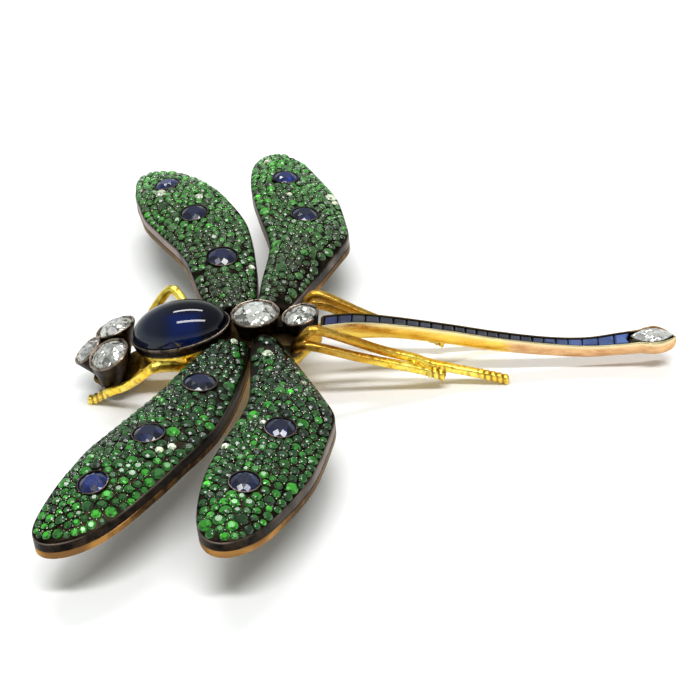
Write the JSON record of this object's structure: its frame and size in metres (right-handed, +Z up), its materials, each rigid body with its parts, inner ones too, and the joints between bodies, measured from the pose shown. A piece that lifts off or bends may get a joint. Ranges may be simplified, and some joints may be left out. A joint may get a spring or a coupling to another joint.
{
  "type": "insect brooch",
  "caption": "Dragonfly brooch with four pierced wings, a domed oval cabochon body, collet-set head, slim channel-set tail, wire legs and a crosswise pin behind.",
  "frame": {"origin": "on the table that the feet stand on, midway between the head and the tail's tip, on the insect's centre line", "axes": "+X from the head to the tail, +Y to the insect's right wings, +Z up from the table"},
  "size_m": [0.0848, 0.0948, 0.0133],
  "materials": {
    "yellow_gold": "hammered and engraved, bright",
    "rose_gold": "satin with dark wear",
    "black_silver": "oxidised, worn bright at the edges",
    "blue_sapphire": "polished",
    "white_diamond": "polished facets"
  },
  "bodies": {
    "root": {"body_frame": "yellow_gold", "head_collets": "black_silver", "cabochon_bezel": "black_silver", "body_collets": "black_silver", "tail_channel": "yellow_gold", "brooch_pin": "yellow_gold", "forewing_left": "black_silver", "forewing_right": "black_silver", "hindwing_left": "black_silver", "hindwing_right": "black_silver", "forewing_back_left": "rose_gold", "forewing_back_right": "rose_gold", "hindwing_back_left": "rose_gold", "hindwing_back_right": "rose_gold", "sapphire_cabochon": "blue_sapphire", "thorax_diamond": "white_diamond", "waist_diamond": "white_diamond", "eye_diamond_left": "white_diamond", "eye_diamond_right": "white_diamond", "front_diamond": "white_diamond", "tail_diamond": "white_diamond", "tail_sapphires": "blue_sapphire", "forewing_sapphire_left_1": "blue_sapphire", "forewing_sapphire_left_2": "blue_sapphire", "forewing_sapphire_left_3": "blue_sapphire", "forewing_sapphire_right_1": "blue_sapphire", "forewing_sapphire_right_2": "blue_sapphire", "forewing_sapphire_right_3": "blue_sapphire", "hindwing_sapphire_left_1": "blue_sapphire", "hindwing_sapphire_left_2": "blue_sapphire", "hindwing_sapphire_right_1": "blue_sapphire", "hindwing_sapphire_right_2": "blue_sapphire"}
  },
  "joints": []
}
